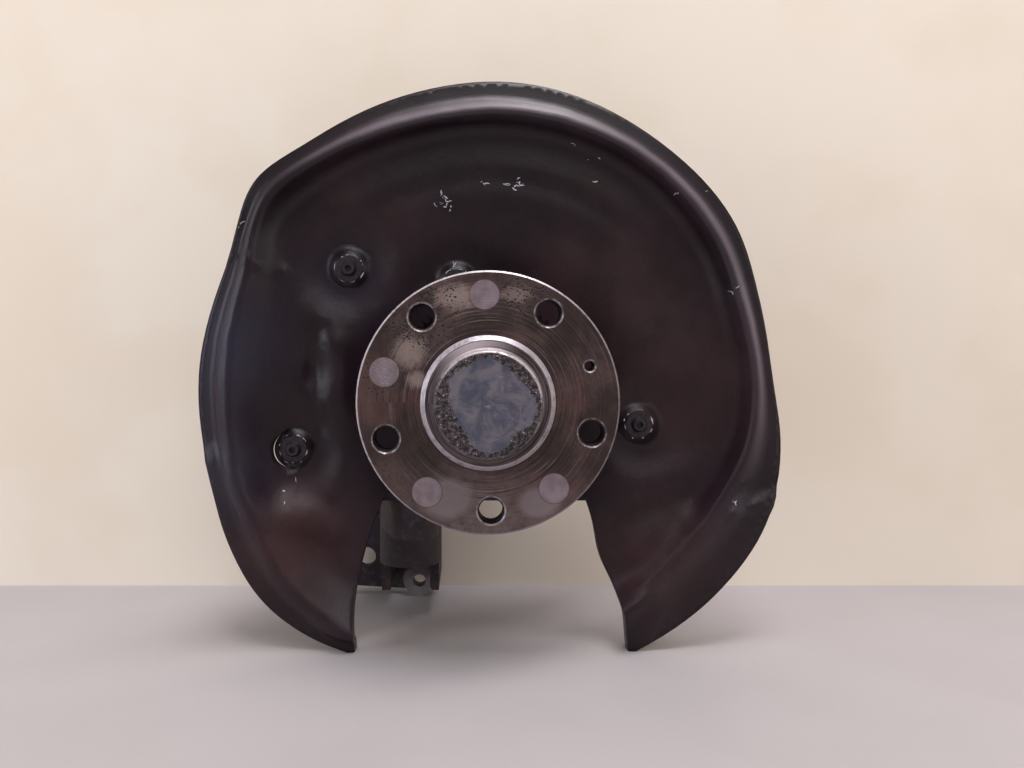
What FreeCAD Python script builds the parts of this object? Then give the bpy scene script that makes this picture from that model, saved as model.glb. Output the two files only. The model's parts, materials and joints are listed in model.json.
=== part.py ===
import FreeCAD, Part
import math
import os
from FreeCAD import Vector

# Car wheel hub on its cast carrier, with the pressed splash shield of the brake.
# Millimetres, +Z up. The wheel turns about Y, outboard is towards -Y, and the origin
# is the centre of the flange face that the brake disc sits against.
# The part stands on the two lower tips of the shield and on a small eye of the carrier.

floor_z = -141.5

# Wheel flange and its spigots
flange_r = 68.5
flange_thick = 13.0
flange_edge = 1.0
bolt_circle_r = 56.0
bolt_count = 5
bolt_first_deg = -88.3
bolt_bore_r = 6.25
bolt_mouth_r = 7.75
disc_screw_bore_r = 2.5
disc_screw_mouth_r = 3.5
disc_land_r = 35.0
disc_land_height = 2.5
disc_lead_r = 32.6
disc_lead_height = 4.9
disc_land_round = 1.0
disc_lead_round = 0.5
pilot_r = 28.55
pilot_height = 12.0
pilot_edge = 0.8
barrel_wall = 10.5
barrel_end_y = 46.0
barrel_fillet = 4.0
barrel_edge = 1.5

# Double-row ball bearing, its outer races cut in the hub
ball_r = 6.0
ball_count = 12
pitch_r = 29.0
race_clearance = 0.03
first_row_y = 12.0
row_gap = 22.0
ring_overhang = 8.0
land_height = 3.5
cage_clearance = 0.9
cage_side = 1.2
pocket_clearance = 0.25
bearing_edge = 0.6

# Spindle, axle bolt and dust cap
spindle_r = 18.0
spindle_short = 2.0
shoulder_r = 25.0
axle_thread_r = 8.0
axle_thread_end_y = 62.0
axle_bore_spare = 6.0
collar_r = 22.5
collar_thick = 3.0
axle_head_r = 13.0
axle_head_height = 8.0
axle_head_edge = 1.0
axle_point = 1.5
collar_edge = 0.6
axle_socket_across = 14.0
axle_socket_depth = 6.0
cap_seat_r = 25.0
cap_seat_depth = 8.0
cap_wall = 1.1
cap_crown_r = 27.8
cap_crown_height = 4.6
cap_crown_round = 2.2
cap_crown_taper = 0.6
cap_crown_swell = 0.5
cap_swell_edge = 0.2
cap_swell_r = 16.7
cap_inner_swell = 0.4

# Seal and encoder at the inboard end of the hub
seal_lip_clearance = 0.3
seal_thick = 3.4
seal_inset = 0.2
seal_face_thick = 1.6
seal_case_wall = 2.0
seal_case_round = 0.5
seal_lip_front = 1.4
seal_lip_back = 0.6
seal_lip_slope = 1.2
seal_lip_neck = 1.6
encoder_inset = 1.0
encoder_thick = 1.2
encoder_air_gap = 1.0

# Carrier casting
boss_r = 47.0
boss_front_y = 49.0
boss_back_y = 74.0
web_front_y = 57.0
web_back_y = 71.0
pad_r = 10.0
arm_root_r = 20.0
arm_tip_r = 9.0
lug_r = 11.0
lug_x = 76.0
lug_z = -56.0
lug_hole_r = 5.25
lug_proud = 3.0
bridge_low_z = -61.5
bridge_high_z = -46.0
cast_edge = 1.2
boss_back_round = 3.0
spindle_edge = 1.0
lug_web_r = 10.0

# Eyes that take the rubber bushes of the suspension links: name, centre x, centre y,
# lowest and highest z of the eye, and the eye's radius
link_eyes = (
    ("lower_rear", -47.0, 99.0, -107.0, -60.0, 19.0),
    ("lower_front", -60.0, 99.0, 34.0, 74.0, 17.0),
    ("upper", 62.0, 99.0, -14.0, 26.0, 17.0),
)
neck_root_y = 68.0
neck_root_r = 14.0
neck_lean = 4.5
lower_neck_height = 24.0
neck_inset = 4.0
eye_wall = 4.0
bush_sleeve_wall = 1.5
bush_core_r = 8.6
bush_core_bore_r = 6.1
bush_core_proud = 2.5
bush_rubber_inset = 2.0

# Trailing-arm pad on top of the carrier
arm_pad_x = 4.0
arm_pad_half_width = 34.0
arm_pad_top_z = 88.0
arm_pad_thick = 13.0
arm_pad_back_y = 113.0
arm_pad_hole_r = 5.1
arm_pad_hole_depth = 22.0
arm_pad_spacing = 44.0
arm_pad_hole_y = 88.0
arm_pad_neck_half = 15.0
arm_pad_neck_low_z = 30.0
arm_pad_neck_back_y = 101.0
arm_pad_corner_r = 8.0

# Rear bracket with the small eye that the part stands on
bracket_back_y = 150.0
bracket_thick = 7.0
bracket_left_x = -98.0
bracket_right_x = -29.0
bracket_top_z = -52.0
bracket_bottom_z = -138.0
bracket_corner_r = 9.0
bracket_foot_r = 3.0
bracket_foot_rise = 14.0
bracket_left_rise = 3.0
bracket_hole_r = 6.5
bracket_hole_x = -80.0
bracket_hole_z = (-74.0, -116.0)
rib_thick = 5.5
rib_low_x = (-65.0, -34.5)
rib_low_z = -126.0
rib_high_z = -66.0
neck_sink = 1.0
foot_eye_x = -43.6
foot_eye_r = 10.5
foot_eye_hole_r = 4.25
foot_eye_front_y = 138.0

# Wheel-speed sensor
sensor_deg = -60.0
sensor_circle_r = 37.5
sensor_tip_r = 5.0
sensor_hole_clearance = 0.2
sensor_flange_r = 8.5
sensor_flange_thick = 5.0
sensor_ear_r = 6.5
sensor_body_r = 7.5
sensor_screw_deg = -84.0
sensor_screw_r = 2.5
sensor_screw_depth = 12.0
sensor_screw_head_r = 5.0
sensor_screw_head_height = 4.0
sensor_socket_width = 16.0
sensor_socket_depth = 13.0
sensor_socket_drop = 27.0
sensor_socket_wall = 2.0
sensor_socket_hollow = 11.0
sensor_socket_proud = 4.0
sensor_socket_corner_r = 2.5
sensor_body_height = 10.0
ring_groove_depth = 1.4
ring_groove_width = 2.2
ring_groove_inset = 7.0
sensor_screw_key = 5.0
sensor_screw_key_floor = 1.5

# Splash shield, one pressing
sheet = 1.2
shield_hole_r = 52.0
rim_y = 27.0
plate_y = 44.0
seat_y = 51.0
seat_coin_r = 11.0
seat_coin_proud = 0.25
pocket_floor_r = 15.0
pocket_r = 36.0
hub_dish_r = 62.0
hub_dish_outer_r = 98.0
hem_depth = 8.0
ripple_height = 1.3
ripple_width = 9.0
ripple_radii = (115.0, 132.0)
ripple_fade_z = 90.0

# Round the shield: angle, radius of the rim's crest, radius of the outer edge, how far
# the edge lies behind the crest, and how wide the wall inside the crest is
rim_columns = ("angle", "crest", "edge", "setback", "wall")
rim_stations = (
    (-60.0, 140.0, 164.0, 8.0, 16.0),
    (-40.0, 141.5, 169.5, 10.0, 17.0),
    (-24.0, 146.0, 172.0, 10.0, 18.0),
    (-10.0, 153.0, 167.0, 9.0, 20.0),
    (4.0, 155.0, 159.5, 7.0, 20.0),
    (20.0, 155.5, 161.5, 7.0, 20.0),
    (36.0, 161.0, 170.0, 9.0, 18.0),
    (56.0, 164.0, 173.0, 10.0, 17.0),
    (82.0, 164.5, 177.5, 11.0, 17.0),
    (106.0, 163.5, 175.5, 11.0, 17.0),
    (125.0, 167.0, 174.5, 10.0, 18.0),
    (137.0, 171.0, 178.0, 9.0, 22.0),
    (145.0, 165.0, 170.0, 9.0, 26.0),
    (153.0, 157.0, 163.0, 9.0, 32.0),
    (176.0, 152.0, 162.0, 11.0, 38.0),
    (195.0, 151.0, 161.5, 11.0, 36.0),
    (210.0, 154.0, 166.5, 10.0, 34.0),
    (222.0, 158.0, 169.5, 9.0, 34.0),
    (234.0, 157.0, 166.0, 8.0, 34.0),
    (243.0, 150.0, 160.5, 6.0, 30.0),
)

# The section of the wall and of the brim, as shares of their width and height
wall_section = ((0.25, 0.10), (0.45, 0.32), (0.62, 0.60), (0.78, 0.84), (0.90, 0.96), (1.0, 1.0))
brim_section = ((0.10, 0.10), (0.24, 0.42), (0.40, 0.78), (0.62, 0.96), (1.0, 1.0))
plate_rows = 12
shield_steps = 80

# Screws that hold the shield to the carrier: x and z of each
shield_fixings = ((-78.7, 73.1), (-110.5, -30.4), (87.5, -16.2), (-16.6, 65.0))
fixing_hole_r = 3.2
fixing_thread_r = 3.0
fixing_depth = 11.0
fixing_head_r = 4.6
fixing_head_height = 3.0
fixing_head_taper = 1.2
fixing_flange_r = 7.4
fixing_flange_thick = 1.2
fixing_recess_r = 1.8
fixing_recess_depth = 2.2

# Shallow forms pressed in the plate: x, z, radius and depth (deeper is further inboard)
plate_forms = (
    (-69.0, 14.0, 34.0, -4.0),
    (-97.0, 14.0, 17.0, 4.0),
    (-118.0, -66.0, 30.0, -6.0),
    (-98.0, -100.0, 34.0, 3.0),
    (-52.0, 40.0, 22.0, -3.0),
    (112.0, -16.0, 32.0, 4.5),
    (92.0, -92.0, 34.0, -4.0),
    (96.0, 70.0, 46.0, 2.0),
)

# The shield's two sides at the caliper gap: radius from the hub's axis, and angle there
gap_right_side = (
    (52.0, -47.0),
    (70.0, -42.5),
    (88.0, -47.0),
    (110.0, -53.5),
    (130.0, -55.5),
    (148.0, -58.0),
    (162.6, -60.4),
)
gap_left_side = (
    (52.0, 224.0),
    (70.0, 221.5),
    (96.0, 228.0),
    (130.0, 235.5),
    (148.0, 239.8),
    (160.0, 242.2),
)
hem_round = 1.6
hem_least_depth = 2.0
hem_start_r = 84.0
hem_full_r = 112.0
hem_turns = (0.35, 0.7, 1.0, 1.4, 2.0)
station_run_on = 10.0
side_run_on = 10.0
side_run_on_deg = 1.2

# How far a cutting solid runs past the face it opens, and a blind hole past its screw
cut_spare = 1.0
drill_spare = 2.0

# Places that follow from the sizes above
outer_land_r = pitch_r + land_height
inner_land_r = pitch_r - land_height
barrel_r = outer_land_r + barrel_wall
row_centres = (first_row_y, first_row_y + row_gap)
rings_start_y = first_row_y - ring_overhang
rings_split_y = first_row_y + row_gap / 2
rings_end_y = first_row_y + row_gap + ring_overhang
collar_front_y = rings_start_y - collar_thick
coin_front_y = seat_y - sheet - 2 * seat_coin_proud
pocket_front_y = coin_front_y + seat_coin_proud
through = 400.0


def y_cylinder(radius, front_y, back_y, x=0.0, z=0.0):
    return Part.makeCylinder(radius, back_y - front_y, Vector(x, front_y, z), Vector(0, 1, 0))


def y_cone(front_radius, back_radius, front_y, back_y, x=0.0, z=0.0):
    start = Vector(x, front_y, z)
    return Part.makeCone(front_radius, back_radius, back_y - front_y, start, Vector(0, 1, 0))


def y_tube(outer_r, inner_r, front_y, back_y, x=0.0, z=0.0):
    outer = y_cylinder(outer_r, front_y, back_y, x, z)
    return outer.cut(y_cylinder(inner_r, front_y, back_y, x, z))


def z_cylinder(radius, low_z, high_z, x, y):
    return Part.makeCylinder(radius, high_z - low_z, Vector(x, y, low_z), Vector(0, 0, 1))


def z_tube(outer_r, inner_r, low_z, high_z, x, y):
    outer = z_cylinder(outer_r, low_z, high_z, x, y)
    return outer.cut(z_cylinder(inner_r, low_z, high_z, x, y))


def block(low, high):
    """A box between two opposite corners."""
    size = [high[i] - low[i] for i in range(3)]
    return Part.makeBox(size[0], size[1], size[2], Vector(*low))


def on_circle(radius, angle_deg):
    """x and z of a point on a circle round the hub's axis."""
    angle = math.radians(angle_deg)
    return radius * math.cos(angle), radius * math.sin(angle)


def in_xz(y):
    return lambda a, b: Vector(a, y, b)


def in_xy(z):
    return lambda a, b: Vector(a, b, z)


def rounded_face(corners, place):
    """A flat face whose corners are (a, b, radius); place turns (a, b) into a point."""
    edges = []
    starts = []
    ends = []
    middles = []
    count = len(corners)
    for i in range(count):
        a, b, radius = corners[i]
        before = corners[i - 1]
        after = corners[(i + 1) % count]
        here = Vector(a, b, 0)
        back = (Vector(before[0], before[1], 0) - here).normalize()
        ahead = (Vector(after[0], after[1], 0) - here).normalize()
        half = back.getAngle(ahead) / 2
        reach = radius / math.tan(half)
        bisector = (back + ahead).normalize()
        starts.append(here + back * reach)
        ends.append(here + ahead * reach)
        middles.append(here + bisector * (radius / math.sin(half) - radius))
    for i in range(count):
        if corners[i][2] > 0:
            points = [place(p.x, p.y) for p in (starts[i], middles[i], ends[i])]
            edges.append(Part.Arc(*points).toShape())
        line_start = place(ends[i].x, ends[i].y)
        following = starts[(i + 1) % count]
        edges.append(Part.makeLine(line_start, place(following.x, following.y)))
    return Part.Face(Part.Wire(edges))


def taper_face(first, first_r, second, second_r, place):
    """The face of an arm: two round ends joined by their common tangents."""
    run = math.hypot(second[0] - first[0], second[1] - first[1])
    heading = math.atan2(second[1] - first[1], second[0] - first[0])
    spread = math.acos((first_r - second_r) / run)

    def rim(centre, radius, angle):
        return place(centre[0] + radius * math.cos(angle), centre[1] + radius * math.sin(angle))

    left = heading + spread
    right = heading - spread
    edges = [
        Part.Arc(rim(first, first_r, left), rim(first, first_r, heading + math.pi),
                 rim(first, first_r, right)).toShape(),
        Part.makeLine(rim(first, first_r, right), rim(second, second_r, right)),
        Part.Arc(rim(second, second_r, right), rim(second, second_r, heading),
                 rim(second, second_r, left)).toShape(),
        Part.makeLine(rim(second, second_r, left), rim(first, first_r, left)),
    ]
    return Part.Face(Part.Wire(edges))


def turned(profile):
    """A turned solid from (radius, y) corners, or (radius, y, rounding) corners."""
    corners = [(p[0], p[1], p[2] if len(p) > 2 else 0.0) for p in profile]
    face = rounded_face(corners, in_xy(0.0))
    return face.revolve(Vector(0, 0, 0), Vector(0, 1, 0), 360)


def hexagon(across, front_y, back_y, x=0.0, z=0.0):
    corner_r = across / math.sqrt(3)
    corners = []
    for i in range(6):
        dx, dz = on_circle(corner_r, 60 * i)
        corners.append((x + dx, z + dz, 0.0))
    return rounded_face(corners, in_xz(front_y)).extrude(Vector(0, back_y - front_y, 0))


def race(row_y, groove_r):
    """The ring that a raceway groove leaves: a torus round the hub's axis."""
    return Part.makeTorus(pitch_r, groove_r, Vector(0, row_y, 0), Vector(0, 1, 0))


def hub_flange():
    """One forging: flange, spigots and barrel, with both outer races ground in its bore."""
    edge_r = flange_r - flange_edge
    body = turned([
        (cap_seat_r, -pilot_height),
        (pilot_r - pilot_edge, -pilot_height),
        (pilot_r, -pilot_height + pilot_edge),
        (pilot_r, -disc_lead_height),
        (disc_lead_r, -disc_lead_height, disc_lead_round),
        (disc_land_r, -disc_land_height, disc_land_round),
        (disc_land_r, 0.0),
        (edge_r, 0.0),
        (flange_r, flange_edge),
        (flange_r, flange_thick - flange_edge),
        (edge_r, flange_thick),
        (barrel_r, flange_thick, barrel_fillet),
        (barrel_r, barrel_end_y - barrel_edge),
        (barrel_r - barrel_edge, barrel_end_y),
        (outer_land_r, barrel_end_y),
        (outer_land_r, 0.0),
        (cap_seat_r, 0.0),
    ])
    for row_y in row_centres:
        body = body.cut(race(row_y, ball_r + race_clearance))
    for i in range(bolt_count):
        x, z = on_circle(bolt_circle_r, bolt_first_deg + i * 360 / bolt_count)
        mouth = bolt_mouth_r - bolt_bore_r
        body = body.cut(y_cylinder(bolt_bore_r, -cut_spare, flange_thick + cut_spare, x, z))
        body = body.cut(y_cone(bolt_mouth_r, bolt_bore_r, 0, mouth, x, z))
        body = body.cut(y_cone(bolt_bore_r, bolt_mouth_r, flange_thick - mouth, flange_thick, x, z))
    x, z = disc_screw_place()
    mouth = disc_screw_mouth_r - disc_screw_bore_r
    body = body.cut(y_cylinder(disc_screw_bore_r, -cut_spare, flange_thick + cut_spare, x, z))
    return body.cut(y_cone(disc_screw_mouth_r, disc_screw_bore_r, 0, mouth, x, z))


def disc_screw_place():
    """The disc screw sits half-way between two wheel bolts."""
    return on_circle(bolt_circle_r, bolt_first_deg + 1.5 * 360 / bolt_count)


def dust_cap():
    """Drawn steel cup pressed in the hub's spigot, its crown lying on the spigot's end."""
    top_y = -pilot_height - cap_crown_height
    inner_r = cap_seat_r - cap_wall
    return turned([
        (0.0, top_y - cap_crown_swell),
        (cap_swell_r, top_y - cap_swell_edge),
        (cap_crown_r - cap_crown_taper, top_y, cap_crown_round),
        (cap_crown_r, -pilot_height),
        (cap_seat_r, -pilot_height),
        (cap_seat_r, -pilot_height + cap_seat_depth),
        (inner_r, -pilot_height + cap_seat_depth),
        (inner_r, top_y + cap_wall, cap_crown_round - cap_wall),
        (0.0, top_y + cap_wall - cap_inner_swell),
    ])


def bearing_inner_ring(front_y, back_y, row_y):
    ring = turned([
        (spindle_r, front_y),
        (inner_land_r - bearing_edge, front_y),
        (inner_land_r, front_y + bearing_edge),
        (inner_land_r, back_y - bearing_edge),
        (inner_land_r - bearing_edge, back_y),
        (spindle_r, back_y),
    ])
    return ring.cut(race(row_y, ball_r + race_clearance))


def ball_places(row_y):
    for i in range(ball_count):
        x, z = on_circle(pitch_r, i * 360 / ball_count)
        yield Vector(x, row_y, z)


def ball_row(row_y):
    return Part.makeCompound([Part.makeSphere(ball_r, place) for place in ball_places(row_y)])


def ball_cage(row_y):
    outer_r = outer_land_r - cage_clearance
    inner_r = inner_land_r + cage_clearance
    half_width = ball_r + pocket_clearance + cage_side
    cage = y_tube(outer_r, inner_r, row_y - half_width, row_y + half_width)
    for place in ball_places(row_y):
        outward = Vector(place.x, 0, place.z)
        start = Vector(0, row_y, 0) + outward * (inner_land_r / pitch_r)
        pocket = Part.makeCylinder(ball_r + pocket_clearance, pitch_r, start, outward)
        cage = cage.cut(pocket)
    return cage


def inboard_seal():
    """Rubber-faced seal in the hub's bore; its lip runs on the carrier's shoulder."""
    back_y = barrel_end_y - seal_inset
    lip_r = shoulder_r + seal_lip_clearance
    return turned([
        (outer_land_r, back_y - seal_thick),
        (outer_land_r, back_y),
        (lip_r + seal_lip_slope, back_y),
        (lip_r, back_y - seal_lip_back),
        (lip_r, back_y - seal_lip_front),
        (lip_r + seal_lip_neck, back_y - seal_face_thick),
        (outer_land_r - seal_case_wall, back_y - seal_face_thick, seal_case_round),
        (outer_land_r - seal_case_wall, back_y - seal_thick),
    ])


def encoder_ring():
    return y_tube(barrel_r - encoder_inset, outer_land_r + encoder_inset, barrel_end_y,
                  barrel_end_y + encoder_thick)


def axle_bolt():
    """Bolt with a wide collar that clamps the inner rings on the spindle."""
    head_front_y = collar_front_y - axle_head_height
    bolt = turned([
        (0.0, head_front_y),
        (axle_head_r - axle_head_edge, head_front_y),
        (axle_head_r, head_front_y + axle_head_edge),
        (axle_head_r, collar_front_y),
        (collar_r - collar_edge, collar_front_y),
        (collar_r, collar_front_y + collar_edge),
        (collar_r, rings_start_y),
        (axle_thread_r, rings_start_y),
        (axle_thread_r, axle_thread_end_y - axle_point),
        (axle_thread_r - axle_point, axle_thread_end_y),
        (0.0, axle_thread_end_y),
    ])
    socket = hexagon(axle_socket_across, head_front_y - cut_spare,
                     head_front_y + axle_socket_depth)
    return bolt.cut(socket)


def neck_root(x):
    """Where the neck of an eye at x starts, a little nearer the hub's axis."""
    return x - math.copysign(neck_lean, x), neck_root_y


def eye_neck(x, y, low_z, high_z, radius):
    """Joins a link eye to the carrier's web."""
    root = neck_root(x)
    face = taper_face(root, neck_root_r, (x, y), radius, in_xy(low_z + neck_inset))
    return face.extrude(Vector(0, 0, high_z - low_z - 2 * neck_inset))


def lower_eye_neck(x, y, high_z, radius):
    """The lower rear eye hangs down from a short neck, so most of it stands free."""
    root = neck_root(x)
    low_z = high_z - lower_neck_height
    face = taper_face(root, neck_root_r, (x, y), radius, in_xy(low_z))
    return face.extrude(Vector(0, 0, high_z - low_z))


def rear_bracket():
    """Plate behind the lower rear eye, with its ribs and the small eye it stands on."""
    front_y = bracket_back_y - bracket_thick
    corner = bracket_corner_r
    plate = rounded_face([
        (bracket_left_x, bracket_top_z, corner),
        (bracket_right_x, bracket_top_z, corner),
        (bracket_right_x, bracket_bottom_z + bracket_foot_rise, bracket_foot_r),
        (foot_eye_x, bracket_bottom_z, bracket_foot_r),
        (bracket_left_x, bracket_bottom_z + bracket_left_rise, corner),
    ], in_xz(front_y)).extrude(Vector(0, bracket_thick, 0))
    eye_y = link_eyes[0][2]
    ribs = [block((x, eye_y, rib_low_z), (x + rib_thick, bracket_back_y, rib_high_z))
            for x in rib_low_x]
    foot = y_cylinder(foot_eye_r, foot_eye_front_y, bracket_back_y, foot_eye_x, floor_z + foot_eye_r)
    return plate.fuse(ribs + [foot])


def trailing_arm_pad():
    """Flat-topped pad on a stout neck above the boss."""
    pad_low_z = arm_pad_top_z - arm_pad_thick
    neck = block((arm_pad_x - arm_pad_neck_half, web_front_y, arm_pad_neck_low_z),
                 (arm_pad_x + arm_pad_neck_half, arm_pad_neck_back_y, pad_low_z + neck_sink))
    corners = []
    for side, y in ((-1, web_front_y), (1, web_front_y), (1, arm_pad_back_y), (-1, arm_pad_back_y)):
        corners.append((arm_pad_x + side * arm_pad_half_width, y, arm_pad_corner_r))
    pad = rounded_face(corners, in_xy(pad_low_z)).extrude(Vector(0, 0, arm_pad_thick))
    return neck.fuse(pad)


def carrier_web(end_x, end_z, end_r):
    face = taper_face((0.0, 0.0), arm_root_r, (end_x, end_z), end_r, in_xz(web_front_y))
    return face.extrude(Vector(0, web_back_y - web_front_y, 0))


def sensor_place():
    return on_circle(sensor_circle_r, sensor_deg)


def sensor_screw_place():
    return on_circle(sensor_circle_r, sensor_screw_deg)


def wheel_carrier():
    """The iron casting: boss, spindle, arms, link eyes, caliper lugs and rear bracket."""
    boss = turned([
        (0.0, rings_start_y + spindle_short),
        (spindle_r - spindle_edge, rings_start_y + spindle_short),
        (spindle_r, rings_start_y + spindle_short + spindle_edge),
        (spindle_r, rings_end_y),
        (shoulder_r, rings_end_y),
        (shoulder_r, boss_front_y),
        (boss_r, boss_front_y, cast_edge),
        (boss_r, boss_back_y, boss_back_round),
        (0.0, boss_back_y),
    ])
    pieces = []
    for x, z in shield_fixings:
        pieces.append(carrier_web(x, z, arm_tip_r))
        pieces.append(y_cylinder(pad_r, seat_y, web_back_y, x, z))
    for side in (-1, 1):
        pieces.append(carrier_web(side * lug_x, lug_z, lug_web_r))
        pieces.append(y_cylinder(lug_r, web_front_y, web_back_y + lug_proud,
                                 side * lug_x, lug_z))
    pieces.append(block((-lug_x, web_front_y, bridge_low_z), (lug_x, web_back_y, bridge_high_z)))
    for name, x, y, low_z, high_z, radius in link_eyes:
        pieces.append(z_cylinder(radius, low_z, high_z, x, y))
        if name == "lower_rear":
            pieces.append(lower_eye_neck(x, y, high_z, radius))
        else:
            pieces.append(eye_neck(x, y, low_z, high_z, radius))
    pieces.append(trailing_arm_pad())
    pieces.append(rear_bracket())
    body = boss.fuse(pieces)
    return body.cut(carrier_holes())


def carrier_holes():
    holes = [y_cylinder(axle_thread_r, rings_start_y, axle_thread_end_y + axle_bore_spare)]
    sensor_x, sensor_z = sensor_place()
    holes.append(y_cylinder(sensor_tip_r + sensor_hole_clearance, boss_front_y - cut_spare,
                            boss_back_y + cut_spare, sensor_x, sensor_z))
    screw_x, screw_z = sensor_screw_place()
    holes.append(y_cylinder(sensor_screw_r, boss_back_y - sensor_screw_depth - drill_spare,
                            boss_back_y + cut_spare, screw_x, screw_z))
    for x, z in shield_fixings:
        holes.append(y_cylinder(fixing_thread_r, seat_y - cut_spare,
                                seat_y + fixing_depth + drill_spare, x, z))
    for side in (-1, 1):
        holes.append(y_cylinder(lug_hole_r, web_front_y - cut_spare,
                                web_back_y + lug_proud + cut_spare, side * lug_x, lug_z))
    for name, x, y, low_z, high_z, radius in link_eyes:
        holes.append(z_cylinder(radius - eye_wall, low_z - cut_spare, high_z + cut_spare, x, y))
    for side in (-1, 1):
        holes.append(z_cylinder(arm_pad_hole_r, arm_pad_top_z - arm_pad_hole_depth,
                                arm_pad_top_z + cut_spare,
                                arm_pad_x + side * arm_pad_spacing / 2, arm_pad_hole_y))
    for z in bracket_hole_z:
        holes.append(y_cylinder(bracket_hole_r, bracket_back_y - bracket_thick - cut_spare,
                                bracket_back_y + cut_spare, bracket_hole_x, z))
    holes.append(y_cylinder(foot_eye_hole_r, foot_eye_front_y - cut_spare,
                            bracket_back_y + cut_spare, foot_eye_x, floor_z + foot_eye_r))
    return Part.makeCompound(holes)


def bush_sleeve(x, y, low_z, high_z, radius):
    outer_r = radius - eye_wall
    return z_tube(outer_r, outer_r - bush_sleeve_wall, low_z, high_z, x, y)


def bush_rubber(x, y, low_z, high_z, radius):
    outer_r = radius - eye_wall - bush_sleeve_wall
    return z_tube(outer_r, bush_core_r, low_z + bush_rubber_inset, high_z - bush_rubber_inset, x, y)


def bush_core(x, y, low_z, high_z):
    return z_tube(bush_core_r, bush_core_bore_r, low_z - bush_core_proud,
                  high_z + bush_core_proud, x, y)


def speed_sensor():
    """Plastic sensor through the boss, its tip facing the encoder ring."""
    x, z = sensor_place()
    screw_x, screw_z = sensor_screw_place()
    tip_y = barrel_end_y + encoder_thick + encoder_air_gap
    flange_back_y = boss_back_y + sensor_flange_thick
    body_back_y = flange_back_y + sensor_body_height
    tip = y_cylinder(sensor_tip_r, tip_y, boss_back_y, x, z)
    flange = taper_face((x, z), sensor_flange_r, (screw_x, screw_z), sensor_ear_r,
                        in_xz(boss_back_y)).extrude(Vector(0, sensor_flange_thick, 0))
    body = y_cylinder(sensor_body_r, flange_back_y, body_back_y, x, z)
    socket_back_y = body_back_y + sensor_socket_proud
    socket_front_y = socket_back_y - sensor_socket_depth
    socket_low_z = z - sensor_socket_drop
    half = sensor_socket_width / 2
    corners = []
    for side, y in ((-1, socket_front_y), (1, socket_front_y), (1, socket_back_y), (-1, socket_back_y)):
        corners.append((x + side * half, y, sensor_socket_corner_r))
    socket = rounded_face(corners, in_xy(socket_low_z)).extrude(Vector(0, 0, sensor_socket_drop))
    wall = sensor_socket_wall
    mouth = block((x - half + wall, socket_front_y + wall, socket_low_z - cut_spare),
                  (x + half - wall, socket_back_y - wall, socket_low_z + sensor_socket_hollow))
    groove = y_tube(sensor_tip_r + cut_spare, sensor_tip_r - ring_groove_depth, sensor_groove_y(),
                    sensor_groove_y() + ring_groove_width, x, z)
    hole = y_cylinder(sensor_screw_r, boss_back_y - cut_spare, flange_back_y + cut_spare,
                      screw_x, screw_z)
    return tip.fuse([flange, body, socket]).cut(Part.makeCompound([mouth, groove, hole]))


def sensor_groove_y():
    return boss_back_y - ring_groove_inset


def sensor_o_ring():
    x, z = sensor_place()
    return y_tube(sensor_tip_r + sensor_hole_clearance, sensor_tip_r - ring_groove_depth,
                  sensor_groove_y(), sensor_groove_y() + ring_groove_width, x, z)


def sensor_screw():
    x, z = sensor_screw_place()
    seat = boss_back_y + sensor_flange_thick
    shank = y_cylinder(sensor_screw_r, boss_back_y - sensor_screw_depth, seat, x, z)
    head = y_cylinder(sensor_screw_head_r, seat, seat + sensor_screw_head_height, x, z)
    socket = hexagon(sensor_screw_key, seat + sensor_screw_key_floor,
                     seat + sensor_screw_head_height + cut_spare, x, z)
    return shank.fuse(head).cut(socket)


def shield_screws():
    """Low round-headed screws with a thin flange, all alike."""
    screws = []
    flange_back_y = coin_front_y
    flange_front_y = flange_back_y - fixing_flange_thick
    head_front_y = flange_front_y - fixing_head_height
    for x, z in shield_fixings:
        shank = y_cylinder(fixing_thread_r, flange_back_y, seat_y + fixing_depth, x, z)
        flange = y_cylinder(fixing_flange_r, flange_front_y, flange_back_y, x, z)
        head = y_cone(fixing_head_r - fixing_head_taper, fixing_head_r, head_front_y,
                      flange_front_y, x, z)
        recess = y_cylinder(fixing_recess_r, head_front_y - cut_spare,
                            head_front_y + fixing_recess_depth, x, z)
        screws.append(shank.fuse([flange, head]).cut(recess))
    return Part.makeCompound(screws)


def ease(share):
    """Rises smoothly from 0 to 1."""
    share = min(1.0, max(0.0, share))
    return share * share * (3 - 2 * share)


def smooth_curve(knots, at):
    """Value at a place on a smooth curve through four or more (place, value) knots."""
    inner = [i for i in range(1, len(knots) - 2) if knots[i][0] <= at]
    first = max(inner) if inner else 1
    (a0, v0), (a1, v1), (a2, v2), (a3, v3) = knots[first - 1:first + 3]
    width = a2 - a1
    t = (at - a1) / width
    slope1 = (v2 - v0) / (a2 - a0) * width
    slope2 = (v3 - v1) / (a3 - a1) * width
    return (v1 + slope1 * t + (3 * (v2 - v1) - 2 * slope1 - slope2) * t * t
            + (2 * (v1 - v2) + slope1 + slope2) * t * t * t)


def station_value(angle, column):
    """One column of the rim stations at any angle, held steady past both ends."""
    place = rim_columns.index(column)
    knots = [(station[0], station[place]) for station in rim_stations]
    before = (knots[0][0] - station_run_on, knots[0][1])
    after = (knots[-1][0] + station_run_on, knots[-1][1])
    return smooth_curve([before] + knots + [after], angle)


def side_angle(side, radius):
    """Angle of the shield's edge at the gap, at a distance from the hub's axis."""
    before = (side[0][0] - side_run_on, side[0][1])
    after = (side[-1][0] + side_run_on,
             side[-1][1] + math.copysign(side_run_on_deg, side[-1][1]))
    return smooth_curve([before] + list(side) + [after], radius)


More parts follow.
